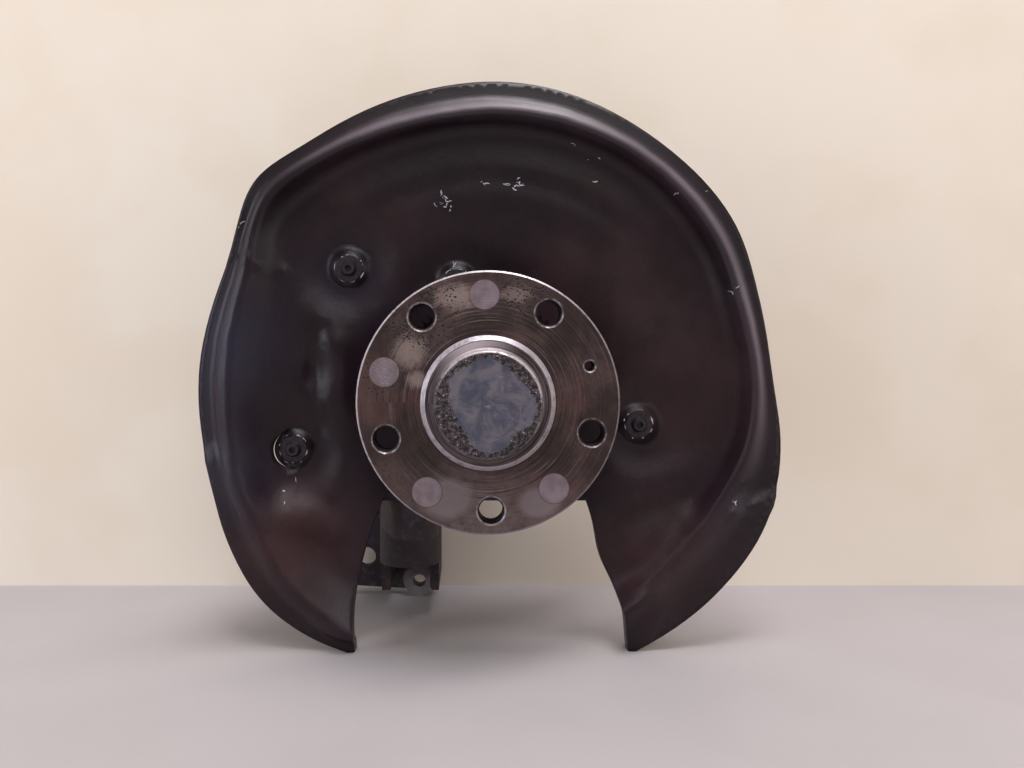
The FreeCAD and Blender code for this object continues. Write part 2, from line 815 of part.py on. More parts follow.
def pocket_share(x, z):
    """1 where the sheet lies on the carrier's pads, 0 well away from them."""
    shares = [1 - ease((math.hypot(x, z) - hub_dish_r) / (hub_dish_outer_r - hub_dish_r))]
    for fixing_x, fixing_z in shield_fixings:
        away = math.hypot(x - fixing_x, z - fixing_z)
        shares.append(1 - ease((away - pocket_floor_r) / (pocket_r - pocket_floor_r)))
    return max(shares)


def plate_depth(x, z):
    """y of the plate's front face, with its pockets, pressed forms and ripples."""
    share = pocket_share(x, z)
    depth = plate_y
    for form_x, form_z, radius, height in plate_forms:
        away = math.hypot(x - form_x, z - form_z) / radius
        if away < 1:
            depth += height * (1 - away * away) ** 2
    upper = ease(z / ripple_fade_z)
    for radius in ripple_radii:
        off = (math.hypot(x, z) - radius) / ripple_width
        if abs(off) < 1:
            depth -= ripple_height * upper * (1 - off * off) ** 2
    return depth + (pocket_front_y - depth) * share


def row_radius(angle, row):
    """Distance of a row of the shield from the hub's axis, at an angle."""
    crest_r = station_value(angle, "crest")
    edge_r = station_value(angle, "edge")
    wall = station_value(angle, "wall")
    foot_r = crest_r - wall
    if row <= plate_rows:
        return shield_hole_r + (foot_r - shield_hole_r) * row / plate_rows
    if row <= plate_rows + len(wall_section):
        return foot_r + wall * wall_section[row - plate_rows - 1][0]
    return crest_r + (edge_r - crest_r) * brim_section[row - plate_rows - len(wall_section) - 1][0]


def shield_point(share, row):
    """A point of the shield's front face; share runs from the gap's right side to its left."""
    angle = rim_stations[0][0] + (rim_stations[-1][0] - rim_stations[0][0]) * share
    radius = row_radius(angle, row)
    right = side_angle(gap_right_side, radius)
    left = side_angle(gap_left_side, radius)
    angle = right + (left - right) * share
    radius = row_radius(angle, row)
    x, z = on_circle(radius, angle)
    if row <= plate_rows:
        return Vector(x, plate_depth(x, z), z)
    setback = station_value(angle, "setback")
    foot_r = station_value(angle, "crest") - station_value(angle, "wall")
    foot_x, foot_z = on_circle(foot_r, angle)
    foot_y = plate_depth(foot_x, foot_z)
    if row <= plate_rows + len(wall_section):
        return Vector(x, foot_y + (rim_y - foot_y) * wall_section[row - plate_rows - 1][1], z)
    return Vector(x, rim_y + setback * brim_section[row - plate_rows - len(wall_section) - 1][1], z)


def hem_column(edge, inner, turn):
    """One column of the hem: the sheet's edge bent back by a share of a quarter turn.

    Turn 1 ends the bend, and what lies beyond 1 runs straight back.
    """
    column = []
    for at, (point, before) in enumerate(zip(edge, inner)):
        outward = Vector(point.x - before.x, 0, point.z - before.z).normalize()
        radius = math.hypot(point.x, point.z)
        bend = math.radians(90 * min(turn, 1.0))
        straight = max(0.0, turn - 1.0)
        full = ease((radius - hem_start_r) / (hem_full_r - hem_start_r))
        depth = hem_least_depth + (hem_depth - hem_least_depth) * full
        back = hem_round * (1 - math.cos(bend)) + depth * straight
        column.append(point + outward * (hem_round * math.sin(bend)) + Vector(0, back, 0))
    return column


def shield_grid():
    """Points of the front face, hems included, and the unit normals pointing inboard."""
    rows = plate_rows + len(wall_section) + len(brim_section) + 1
    points = [[shield_point(i / shield_steps, j) for j in range(rows)]
              for i in range(shield_steps + 1)]
    right_hem = [hem_column(points[0], points[1], turn) for turn in reversed(hem_turns)]
    left_hem = [hem_column(points[-1], points[-2], turn) for turn in hem_turns]
    points = right_hem + points + left_hem
    columns = len(points)
    normals = []
    for i in range(columns):
        line = []
        for j in range(rows):
            round_way = points[min(i + 1, columns - 1)][j] - points[max(i - 1, 0)][j]
            out_way = points[i][min(j + 1, rows - 1)] - points[i][max(j - 1, 0)]
            line.append(round_way.cross(out_way).normalize())
        normals.append(line)
    return points, normals


def surface_over(grid):
    """A smooth cubic surface whose control points are the grid's points."""
    knot_sets = []
    for count in (len(grid), len(grid[0])):
        inner = count - 4
        knots = [float(i) for i in range(inner + 2)]
        knot_sets.append((knots, [4] + [1] * inner + [4]))
    (u_knots, u_mults), (v_knots, v_mults) = knot_sets
    surface = Part.BSplineSurface()
    surface.buildFromPolesMultsKnots(grid, u_mults, v_mults, u_knots, v_knots, False, False, 3, 3)
    return surface


def pressed_solid(front_grid, back_grid):
    """A closed solid between a front and a back surface."""
    front = surface_over(front_grid)
    back = surface_over(back_grid)
    faces = [front.toShape(), back.toShape()]
    u_first, u_last, v_first, v_last = front.bounds()
    back_u_first, back_u_last, back_v_first, back_v_last = back.bounds()
    edge_pairs = (
        (front.uIso(u_first), back.uIso(back_u_first)),
        (front.uIso(u_last), back.uIso(back_u_last)),
        (front.vIso(v_first), back.vIso(back_v_first)),
        (front.vIso(v_last), back.vIso(back_v_last)),
    )
    for front_edge, back_edge in edge_pairs:
        faces.append(Part.makeRuledSurface(front_edge.toShape(), back_edge.toShape()))
    shell = Part.makeShell(faces)
    shell.sewShape(0.001)
    solid = Part.makeSolid(shell)
    if solid.Volume < 0:
        solid.reverse()
    return solid


def splash_shield():
    """Dished sheet with a rolled rim, hems at the caliper gap and seats for four screws."""
    points, normals = shield_grid()
    behind = [[point + normal * sheet for point, normal in zip(point_line, normal_line)]
              for point_line, normal_line in zip(points, normals)]
    body = pressed_solid(points, behind)
    for x, z in shield_fixings:
        body = body.fuse(y_cylinder(seat_coin_r, coin_front_y, seat_y, x, z))
        body = body.cut(y_cylinder(seat_coin_r, rim_y, coin_front_y, x, z))
        body = body.cut(y_cylinder(fixing_hole_r, coin_front_y - cut_spare,
                                   seat_y + cut_spare, x, z))
    below_floor = block((-through, -through, floor_z - through), (through, through, floor_z))
    return body.cut(below_floor)


def save(name, shape):
    shape.exportStep("parts/" + name + ".step")


os.makedirs("parts", exist_ok=True)

save("hub_flange", hub_flange())
save("dust_cap", dust_cap())
save("inboard_seal", inboard_seal())
save("encoder_ring", encoder_ring())
save("outboard_balls", ball_row(row_centres[0]))
save("outboard_cage", ball_cage(row_centres[0]))
save("inboard_balls", ball_row(row_centres[1]))
save("inboard_cage", ball_cage(row_centres[1]))
save("outboard_inner_ring", bearing_inner_ring(rings_start_y, rings_split_y, row_centres[0]))
save("inboard_inner_ring", bearing_inner_ring(rings_split_y, rings_end_y, row_centres[1]))
save("axle_bolt", axle_bolt())
save("wheel_carrier", wheel_carrier())
save("speed_sensor", speed_sensor())
save("sensor_o_ring", sensor_o_ring())
save("sensor_screw", sensor_screw())
save("splash_shield", splash_shield())
save("shield_screws", shield_screws())
for name, x, y, low_z, high_z, radius in link_eyes:
    save(name + "_bush_sleeve", bush_sleeve(x, y, low_z, high_z, radius))
    save(name + "_bush_rubber", bush_rubber(x, y, low_z, high_z, radius))
    save(name + "_bush_core", bush_core(x, y, low_z, high_z))
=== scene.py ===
import json
import math
import random

import bmesh
import bpy
import numpy as np
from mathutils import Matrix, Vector
from mathutils.bvhtree import BVHTree


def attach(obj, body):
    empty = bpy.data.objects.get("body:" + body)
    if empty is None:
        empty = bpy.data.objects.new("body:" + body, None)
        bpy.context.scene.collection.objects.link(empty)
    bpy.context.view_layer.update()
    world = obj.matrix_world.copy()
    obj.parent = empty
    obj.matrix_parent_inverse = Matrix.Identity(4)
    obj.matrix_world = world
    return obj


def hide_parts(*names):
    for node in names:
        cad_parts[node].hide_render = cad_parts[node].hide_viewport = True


# Looks of a used wheel hub: pale floor and wall, soft light, and node materials whose
# places are in metres from the hub's axis, so they can be read beside the CAD sizes.

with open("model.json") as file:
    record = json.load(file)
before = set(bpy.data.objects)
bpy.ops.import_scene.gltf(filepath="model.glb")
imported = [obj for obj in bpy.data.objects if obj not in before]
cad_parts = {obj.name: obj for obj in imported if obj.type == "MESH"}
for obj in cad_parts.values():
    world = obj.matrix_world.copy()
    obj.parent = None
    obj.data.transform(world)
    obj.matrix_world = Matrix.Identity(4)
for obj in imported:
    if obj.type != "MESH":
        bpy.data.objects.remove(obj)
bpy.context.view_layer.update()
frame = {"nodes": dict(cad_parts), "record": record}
nodes = frame["nodes"]

# Stage, its camera and its dim sky; the camera's lens and sensor are in millimetres
floor_z = -0.1415
wall_y = 0.163
wall_top_z = 2.0
stage_reach = 2.5
camera_place = (-0.0087, -0.450, 0.035)
camera_lens = 30.59
camera_sensor = 36.0
camera_shift = (0.040, -0.0479)
camera_near = 0.01
sky_tone = (0.93, 0.93, 0.96, 1.0)
sky_strength = 0.25

# Wheel flange
bolt_circle_r = 0.056
bolt_first_deg = -88.3
bolt_step_deg = 72.0
bolt_bore_r = 0.00625
bolt_mouth_r = 0.00775
flange_r = 0.0685
disc_land_r = 0.035
disc_lead_r = 0.0326
flange_back_y = 0.013
mark_r = 0.0077
thread_pitch = 0.0015

# The screw that holds the disc: x and z of its hole
disc_screw_place = (0.05272, 0.01888)
disc_screw_bore_r = 0.0025
disc_screw_mouth_r = 0.0035

# Dust cap: the edge of its crown, and the radius that its patch's curve takes as 1
cap_edge_r = 0.0263
cap_patch_scale = 0.050

# Carrier: x and z of the small eye at its foot
foot_eye_place = (-0.0436, -0.131)
foot_eye_r = 0.0105
foot_eye_back_y = 0.150

# Splash shield: x and z of its screws
fixings = ((-0.0787, 0.0731), (-0.1105, -0.0304), (0.0875, -0.0162), (-0.0166, 0.0650))


def tone(red, green, blue):
    """A colour given as seen on screen, 0 to 255, made linear."""
    shares = [c / 255 for c in (red, green, blue)]
    return [s / 12.92 if s <= 0.04045 else ((s + 0.055) / 1.055) ** 2.4 for s in shares] + [1.0]


class Look:
    """One node material, with short names for the nodes it is built from."""

    def __init__(self, name, metallic=0.0, roughness=0.5):
        self.material = bpy.data.materials.new(name)
        self.material.use_nodes = True
        tree = self.material.node_tree
        self.nodes = tree.nodes
        self.links = tree.links
        self.shader = self.nodes["Principled BSDF"]
        self.shader.inputs["Metallic"].default_value = metallic
        self.shader.inputs["Roughness"].default_value = roughness
        self.place = self.nodes.new("ShaderNodeTexCoord").outputs["Object"]
        parts = self.nodes.new("ShaderNodeSeparateXYZ")
        self.links.new(self.place, parts.inputs[0])
        self.x, self.y, self.z = parts.outputs

    def put(self, socket, value):
        if isinstance(value, bpy.types.NodeSocket):
            self.links.new(value, socket)
        else:
            socket.default_value = value

    def math(self, operation, *values):
        node = self.nodes.new("ShaderNodeMath")
        node.operation = operation
        for socket, value in zip(node.inputs, values):
            self.put(socket, value)
        return node.outputs[0]

    def add(self, a, b):
        return self.math("ADD", a, b)

    def times(self, a, b):
        return self.math("MULTIPLY", a, b)

    def most(self, *values):
        found = values[0]
        for value in values[1:]:
            found = self.math("MAXIMUM", found, value)
        return found

    def rise(self, value, low, high, start=0.0, end=1.0):
        """Goes smoothly from start to end while value goes from low to high."""
        node = self.nodes.new("ShaderNodeMapRange")
        node.interpolation_type = "SMOOTHSTEP"
        for socket, part in zip(node.inputs, (value, low, high, start, end)):
            self.put(socket, part)
        return node.outputs[0]

    def band(self, value, low, high, soft):
        """1 between low and high, with soft ends."""
        up = self.rise(value, low - soft, low + soft)
        down = self.rise(value, high - soft, high + soft, 1.0, 0.0)
        return self.times(up, down)

    def distance(self, x, z, stretch=1.0):
        """Distance from a place in the xz plane; stretch makes it longer across than up."""
        across = self.times(self.math("SUBTRACT", self.x, x), 1 / stretch)
        up = self.math("SUBTRACT", self.z, z)
        return self.math("SQRT", self.add(self.times(across, across), self.times(up, up)))

    def spot(self, x, z, radius, stretch=1.0):
        """1 at a place, falling smoothly to 0 at a radius."""
        return self.rise(self.distance(x, z, stretch), 0.0, radius, 1.0, 0.0)

    def spots(self, places):
        """The strongest of several spots, each given as x, z, radius, stretch and strength."""
        return self.most(*[self.times(self.spot(*place), strength) for *place, strength in places])

    def vector(self, x, y, z):
        node = self.nodes.new("ShaderNodeCombineXYZ")
        for socket, value in zip(node.inputs, (x, y, z)):
            self.put(socket, value)
        return node.outputs[0]

    def noise(self, scale, detail=4.0, roughness=0.55, at=None, distortion=0.0):
        node = self.nodes.new("ShaderNodeTexNoise")
        self.put(node.inputs["Vector"], at or self.place)
        node.inputs["Scale"].default_value = scale
        node.inputs["Detail"].default_value = detail
        node.inputs["Roughness"].default_value = roughness
        node.inputs["Distortion"].default_value = distortion
        return node.outputs["Fac"]

    def cells(self, scale):
        """Distance to the nearest of many scattered points."""
        node = self.nodes.new("ShaderNodeTexVoronoi")
        self.put(node.inputs["Vector"], self.place)
        node.inputs["Scale"].default_value = scale
        return node.outputs["Distance"]

    def blend(self, share, first, second):
        """A colour between two, by a share."""
        node = self.nodes.new("ShaderNodeMix")
        node.data_type = "RGBA"
        self.put(node.inputs["Factor"], share)
        self.put(node.inputs["A"], first)
        self.put(node.inputs["B"], second)
        return node.outputs["Result"]

    def mean(self, share, first, second):
        """A number between two, by a share."""
        node = self.nodes.new("ShaderNodeMix")
        self.put(node.inputs["Factor"], share)
        self.put(node.inputs["A"], first)
        self.put(node.inputs["B"], second)
        return node.outputs["Result"]

    def curve(self, value, points):
        """A number read from a smooth curve through points, for value from 0 to 1."""
        node = self.nodes.new("ShaderNodeFloatCurve")
        self.put(node.inputs["Value"], value)
        line = node.mapping.curves[0]
        line.points[0].location = points[0]
        line.points[1].location = points[-1]
        for point in points[1:-1]:
            line.points.new(*point)
        node.mapping.update()
        return node.outputs[0]

    def finish(self, colour, roughness=None, metallic=None, heights=()):
        """Joins the looks to the shader; heights are (height, metres) pairs of relief."""
        self.put(self.shader.inputs["Base Color"], colour)
        if roughness is not None:
            self.put(self.shader.inputs["Roughness"], roughness)
        if metallic is not None:
            self.put(self.shader.inputs["Metallic"], metallic)
        normal = None
        for height, metres in heights:
            node = self.nodes.new("ShaderNodeBump")
            node.inputs["Distance"].default_value = metres
            self.put(node.inputs["Height"], height)
            if normal is not None:
                self.put(node.inputs["Normal"], normal)
            normal = node.outputs[0]
        if normal is not None:
            self.put(self.shader.inputs["Normal"], normal)
        return self.material

    def round_axis(self):
        """Radius from the hub's axis, and the angle round it in degrees."""
        radius = self.math("SQRT", self.add(self.times(self.x, self.x), self.times(self.z, self.z)))
        angle = self.times(self.math("ARCTAN2", self.z, self.x), 180 / math.pi)
        return radius, angle

    def from_nearest(self, radius, angle, first_deg):
        """Distance to the nearest of five places on the bolt circle, and the angle round it."""
        # Two turns are added because MODULO only folds angles above 0
        two_turns = 720
        turned = self.add(angle, two_turns - first_deg + bolt_step_deg / 2)
        folded = self.math("SUBTRACT", self.math("MODULO", turned, bolt_step_deg), bolt_step_deg / 2)
        folded = self.times(folded, math.pi / 180)
        along = self.math("SUBTRACT", self.times(radius, self.math("COSINE", folded)), bolt_circle_r)
        across = self.times(radius, self.math("SINE", folded))
        away = self.math("SQRT", self.add(self.times(along, along), self.times(across, across)))
        return away, self.math("ARCTAN2", across, along)


def flange_look():
    look = Look("forged_steel", roughness=0.45)
    radius, angle = look.round_axis()
    turn = look.times(angle, math.pi / 180)

    # Rust and dirt over turned steel
    broad = look.noise(38, 5, 0.6)
    fine = look.noise(420, 6, 0.65)
    steel = tone(76, 58, 56)
    colour = look.blend(look.rise(broad, 0.40, 0.62), tone(48, 33, 32), steel)
    colour = look.blend(look.rise(fine, 0.42, 0.66, 0.0, 0.55), colour, tone(46, 35, 34))
    warm = look.rise(look.noise(24, 3, 0.5, look.vector(look.x, 0.03, look.z)), 0.50, 0.66, 0.0, 0.6)
    colour = look.blend(warm, colour, tone(88, 60, 56))

    # Pale dust on the lower edge
    dust_grain = look.rise(look.noise(180, 5, 0.7), 0.30, 0.62, 0.2, 0.8)
    low_dust = look.times(look.spot(0.0, -0.062, 0.045, 1.5), dust_grain)
    colour = look.blend(low_dust, colour, tone(112, 98, 98))

    # Turned grooves, strongest near the disc's spigot
    streak_place = look.vector(look.times(radius, 1000), look.times(turn, 0.8), 0.0)
    streaks = look.noise(0.95, 5, 0.7, streak_place)
    groove_share = look.rise(radius, 0.047, 0.060, 1.0, 0.35)
    dark_groove = look.times(look.rise(streaks, 0.36, 0.50, 1.0, 0.0), groove_share)
    colour = look.blend(look.times(dark_groove, 0.9), colour, tone(24, 16, 17))
    # The bright streaks are partly bare turned steel and partly painted glints on the grooves
    bright_groove = look.times(look.rise(streaks, 0.56, 0.72), groove_share)
    colour = look.blend(look.times(bright_groove, 0.75), colour, tone(138, 118, 116))

    # Patches at the upper left where the steel is worn pale
    worn_places = look.spots(((-0.040, 0.026, 0.018, 1.0, 1.0), (-0.016, 0.055, 0.014, 1.8, 1.0),
                              (-0.037, 0.012, 0.010, 1.0, 1.0), (0.014, 0.056, 0.010, 2.0, 0.7)))
    worn_grain = look.mean(0.5, look.noise(260, 6, 0.75), streaks)
    worn_share = look.rise(look.add(look.times(worn_places, 0.5), worn_grain), 0.62, 0.98, 0.0, 0.7)
    colour = look.blend(worn_share, colour, tone(150, 132, 126))

    # Pits near the rim, most at the upper left
    pits = look.rise(look.add(look.cells(560), look.times(fine, 0.25)), 0.34, 0.50, 1.0, 0.0)
    pit_place = look.add(look.spot(-0.034, 0.048, 0.030), look.times(look.spot(0.018, 0.056, 0.018), 0.8))
    pit_place = look.add(pit_place, look.times(look.spot(-0.058, 0.014, 0.016), 0.7))
    pit_share = look.times(pits, look.rise(look.add(pit_place, look.times(fine, 0.5)), 0.30, 0.60))
    colour = look.blend(pit_share, colour, tone(20, 15, 16))

    # Flush round marks between the bolt holes, with grey smears beside the lower two
    mark_away, _ = look.from_nearest(radius, angle, bolt_first_deg + bolt_step_deg / 2)
    screw_away = look.distance(*disc_screw_place)
    off_screw = look.rise(screw_away, 0.012, 0.014)
    marks = look.times(look.rise(mark_away, mark_r - 0.0003, mark_r + 0.0002, 1.0, 0.0), off_screw)
    smear = look.most(look.spot(-0.022, -0.050, 0.016, 1.4), look.spot(0.026, -0.052, 0.013, 1.3))
    smear = look.times(look.rise(look.add(smear, look.times(broad, 0.9)), 0.55, 1.05), 0.7)
    colour = look.blend(smear, colour, tone(124, 112, 116))
    mark_tone = look.blend(look.rise(look.noise(160, 3), 0.35, 0.65), tone(108, 94, 98), tone(124, 110, 117))
    colour = look.blend(marks, colour, mark_tone)
    mark_edge = look.times(look.band(mark_away, mark_r + 0.0001, mark_r + 0.0006, 0.0002), off_screw)
    colour = look.blend(look.times(mark_edge, 0.55), colour, tone(62, 48, 45))

    # Bright rim, hole mouths and disc spigot: worn bare steel, with a painted highlight on the rim and
    # spigot
    rim = look.rise(radius, flange_r - 0.0011, flange_r - 0.0008)
    land = look.band(radius, disc_lead_r - 0.0002, disc_land_r + 0.0003, 0.00015)
    land = look.times(land, look.rise(look.y, -0.0004, -0.0001, 1.0, 0.0))
    bolt_away, bolt_turn = look.from_nearest(radius, angle, bolt_first_deg)
    mouth = look.rise(bolt_away, bolt_mouth_r, bolt_mouth_r + 0.0002, 1.0, 0.0)
    screw_mouth = look.rise(screw_away, disc_screw_mouth_r, disc_screw_mouth_r + 0.0002, 1.0, 0.0)
    # Painted highlight: the rim and spigot are lighter towards the upper left, broken up where the steel is
    # worn
    rim = look.times(rim, look.rise(look.math("SUBTRACT", look.z, look.x), -0.05, 0.06, 0.35, 1.0))
    land = look.times(land, look.rise(look.math("SUBTRACT", look.z, look.x), -0.03, 0.04, 0.7, 1.0))
    mouth_wear = look.rise(look.noise(240, 4, 0.7), 0.42, 0.58, 0.1, 0.55)
    mouths = look.times(look.most(mouth, screw_mouth), mouth_wear)
    worn = look.rise(look.noise(300, 4), 0.30, 0.55, 0.55, 1.0)
    bright = look.most(look.times(look.most(rim, land), worn), mouths)
    colour = look.blend(bright, colour, tone(196, 186, 194))

    # The disc spigot's inner ledge, with a painted highlight on its upper side, which faces up
    ledge = look.rise(radius, disc_lead_r - 0.0008, disc_lead_r - 0.0003, 1.0, 0.0)
    ledge_tone = look.blend(look.rise(streaks, 0.4, 0.6), tone(44, 34, 34), tone(104, 92, 94))
    upper_ledge = look.times(look.spot(-0.010, 0.034, 0.030), 0.8)
    ledge_tone = look.blend(upper_ledge, ledge_tone, tone(206, 192, 198))
    colour = look.blend(ledge, colour, ledge_tone)

    # Painted shade in the bores, and rust behind the flange
    bore = look.rise(bolt_away, bolt_bore_r + 0.0006, bolt_bore_r + 0.0008, 1.0, 0.0)
    screw_bore = look.rise(screw_away, disc_screw_bore_r + 0.0001, disc_screw_bore_r + 0.0003, 1.0, 0.0)
    holes = look.most(bore, screw_bore)
    colour = look.blend(holes, colour, tone(34, 27, 28))
    behind = look.rise(look.y, flange_back_y - 0.0005, flange_back_y + 0.0005)
    colour = look.blend(look.times(behind, 0.7), colour, tone(78, 58, 50))

    # Relief: grooves on the face, pits, and thread turns in the bolt holes
    turns_in = look.times(look.y, 1 / thread_pitch)
    thread = look.math("FRACT", look.add(turns_in, look.times(bolt_turn, 0.5 / math.pi)))
    thread = look.times(look.math("PINGPONG", thread, 0.5), holes)
    relief = look.math("SUBTRACT", look.times(streaks, groove_share), look.times(pit_share, 0.5))
    roughness = look.mean(bright, look.rise(broad, 0.3, 0.7, 0.38, 0.55), 0.28)
    roughness = look.mean(holes, roughness, 0.5)
    metallic = look.mean(marks, look.mean(bright, 0.35, 0.45), 0.1)
    return look.finish(colour, roughness, metallic, ((relief, 0.00035), (thread, 0.0012), (fine, 0.00006)))


def cap_look():
    look = Look("cap_steel", roughness=0.4)
    radius, angle = look.round_axis()
    share = look.times(look.add(angle, 180), 1 / 360)

    # A smooth grey patch with lobes: its edge at each share of a turn from -X
    patch_edge = look.curve(share, (
        (0.0, 0.366), (0.07, 0.35), (0.13, 0.36), (0.20, 0.44), (0.25, 0.48), (0.31, 0.46), (0.37, 0.40),
        (0.44, 0.46), (0.50, 0.48), (0.56, 0.44), (0.61, 0.40), (0.68, 0.43), (0.75, 0.47), (0.83, 0.44),
        (0.90, 0.48), (0.94, 0.43), (1.0, 0.366)))
    ragged = look.times(look.math("SUBTRACT", look.noise(260, 6, 0.8), 0.5), 0.0085)
    past_edge = look.math("SUBTRACT", look.add(radius, ragged), look.times(patch_edge, cap_patch_scale))
    patch = look.rise(past_edge, -0.0004, 0.0004, 1.0, 0.0)

    cloud = look.noise(95, 7, 0.7, distortion=0.8)
    patch_tone = look.blend(look.rise(cloud, 0.36, 0.64), tone(74, 76, 92), tone(114, 108, 116))
    scratch_place = look.vector(look.times(look.x, 0.25), 0.0, look.z)
    scratches = look.rise(look.noise(900, 2, 0.5, scratch_place), 0.64, 0.72, 0.0, 0.35)
    patch_tone = look.blend(scratches, patch_tone, tone(150, 150, 166))

    # Dark crust with bright grains round it
    crust = look.noise(480, 7, 0.8)
    crust_tone = look.blend(look.rise(crust, 0.46, 0.60), tone(14, 8, 11), tone(104, 90, 96))
    sparkle = look.rise(look.cells(620), 0.14, 0.30, 1.0, 0.0)
    bare_grains = look.times(sparkle, look.rise(crust, 0.48, 0.60))
    crust_tone = look.blend(bare_grains, crust_tone, tone(190, 178, 182))
    colour = look.blend(patch, crust_tone, patch_tone)

    # The crown's edge carries a painted highlight, strongest above, broken up by wear
    shoulder = look.rise(radius, cap_edge_r - 0.0004, cap_edge_r + 0.0004)
    upper = look.rise(look.add(look.z, look.times(look.x, 0.5)), -0.010, 0.020, 0.15, 1.0)
    shoulder_wear_and_highlight = look.times(look.rise(look.noise(150, 6, 0.7), 0.40, 0.56, 0.1, 1.0), upper)
    shoulder = look.times(shoulder, shoulder_wear_and_highlight)
    colour = look.blend(shoulder, colour, tone(196, 186, 190))
    crusty = look.times(look.math("SUBTRACT", 1.0, patch), look.math("SUBTRACT", 1.0, shoulder))
    roughness = look.mean(crusty, look.mean(shoulder, 0.42, 0.26), 0.6)
    metallic = look.mean(crusty, 0.4, 0.3)
    relief = look.times(look.add(crust, look.times(sparkle, 0.4)), crusty)
    return look.finish(colour, roughness, metallic, ((relief, 0.0007), (cloud, 0.00015)))


def shield_look():
    look = Look("black_paint", roughness=0.42)
    look.shader.inputs["Specular IOR Level"].default_value = 0.30
    broad = look.noise(22, 4, 0.55)
    fine = look.noise(900, 5, 0.7)
    grain = look.noise(2600, 3, 0.6)

    # Reddish dust lies over purple-black paint, most on the flat parts
    paint = look.blend(look.rise(broad, 0.35, 0.65), tone(22, 10, 16), tone(30, 17, 25))
    dust = look.spots(((0.075, 0.055, 0.075, 1.0, 0.8), (0.110, 0.010, 0.070, 1.0, 0.9),
                       (0.090, -0.085, 0.055, 1.0, 1.0), (-0.105, -0.085, 0.060, 1.0, 1.0),
                       (0.010, 0.125, 0.050, 1.0, 0.5), (-0.060, 0.110, 0.060, 1.0, 0.6),
                       (0.060, 0.120, 0.050, 1.0, 0.6), (0.050, 0.075, 0.040, 1.0, 0.7)))
    dust = look.times(dust, look.rise(look.add(broad, look.times(fine, 0.3)), 0.45, 0.80, 0.3, 1.0))
    colour = look.blend(look.times(dust, 0.7), paint, tone(60, 32, 33))
    # Painted bluish sheen towards the shield's left edge, where it turns towards the left lamp
    blue_spots = ((-0.150, 0.030, 0.055, 0.8), (-0.150, -0.040, 0.050, 0.5), (-0.080, 0.070, 0.030, 0.5))
    for x, z, radius, strength in blue_spots:
        colour = look.blend(look.times(look.spot(x, z, radius), strength), colour, tone(40, 37, 54))
    colour = look.blend(look.rise(grain, 0.5, 0.75, 0.0, 0.12), colour, tone(70, 54, 60))

    # Painted shade round the screws, and painted shadow under the crest
    for x, z in fixings:
        colour = look.blend(look.times(look.spot(x, z, 0.024), 0.8), colour, tone(14, 8, 13))
    # Painted shadow of the crest on the plate below it
    under_crest = look.times(look.spot(0.0, 0.140, 0.080, 1.8), 0.7)
    colour = look.blend(under_crest, colour, tone(14, 6, 10))

    # Painted highlight along the rim's crest, with a little dust, strongest above and at the right
    crest_dust_and_sheen = look.nodes.new("ShaderNodeAttribute")
    crest_dust_and_sheen.attribute_name = "crest_dust_and_sheen"
    above = look.rise(look.add(look.z, look.times(look.x, 0.6)), 0.03, 0.13, 0.1, 1.0)
    crest_dust_and_sheen_here = look.times(look.times(crest_dust_and_sheen.outputs["Fac"], above), look.rise(broad, 0.3, 0.6, 0.5, 0.75))
    colour = look.blend(crest_dust_and_sheen_here, colour, tone(112, 101, 110))

    roughness = look.rise(look.add(dust, look.times(fine, 0.3)), 0.0, 1.1, 0.34, 0.55)
    return look.finish(colour, roughness, None,
                       ((look.noise(60, 3, 0.5), 0.0003), (fine, 0.00012), (grain, 0.00005)))


def iron_look():
    look = Look("carrier_iron", metallic=0.25, roughness=0.6)
    broad = look.noise(30, 5, 0.6)
    sand = look.noise(900, 4, 0.7)
    colour = look.blend(look.rise(broad, 0.38, 0.64), tone(36, 26, 32), tone(62, 51, 58))
    rust = look.rise(look.noise(55, 6, 0.7), 0.56, 0.70, 0.0, 0.7)
    colour = look.blend(rust, colour, tone(76, 50, 42))
    dust = look.rise(look.noise(240, 5, 0.7), 0.52, 0.72, 0.0, 0.5)
    colour = look.blend(dust, colour, tone(92, 84, 88))

    # The small eye at the foot is paler
    foot_eye = look.rise(look.distance(*foot_eye_place), foot_eye_r, foot_eye_r + 0.0015, 1.0, 0.0)
    foot_eye = look.times(foot_eye, look.rise(look.y, foot_eye_back_y, foot_eye_back_y + 0.002, 1.0, 0.0))
    foot_eye = look.times(foot_eye, look.rise(broad, 0.3, 0.7, 0.4, 0.9))
    colour = look.blend(foot_eye, colour, tone(168, 158, 160))
    roughness = look.rise(broad, 0.3, 0.7, 0.5, 0.7)
    return look.finish(colour, roughness, None, ((sand, 0.0006), (broad, 0.002)))


def metal_look(name, light, dark, roughness, metallic=0.8, scale=300.0):
    """Plain machined or plated steel with a little staining."""
    look = Look(name, metallic=metallic, roughness=roughness)
    stain = look.noise(scale, 5, 0.6)
    colour = look.blend(look.rise(stain, 0.38, 0.66), light, dark)
    rough = look.rise(stain, 0.3, 0.7, roughness - 0.06, roughness + 0.12)
    return look.finish(colour, rough, None, ((stain, 0.0001),))


def soft_look(name, light, dark, roughness, scale):
    """Rubber or moulded plastic with a fine grain and dusty patches."""
    look = Look(name, roughness=roughness)
    grain = look.noise(scale, 4, 0.6)
    dusty = look.rise(look.noise(70, 5, 0.6), 0.48, 0.70, 0.0, 0.6)
    colour = look.blend(look.rise(grain, 0.4, 0.65), dark, light)
    colour = look.blend(dusty, colour, tone(96, 88, 86))
    rough = look.rise(grain, 0.3, 0.7, roughness - 0.05, roughness + 0.15)
    return look.finish(colour, rough, None, ((grain, 0.0003),))


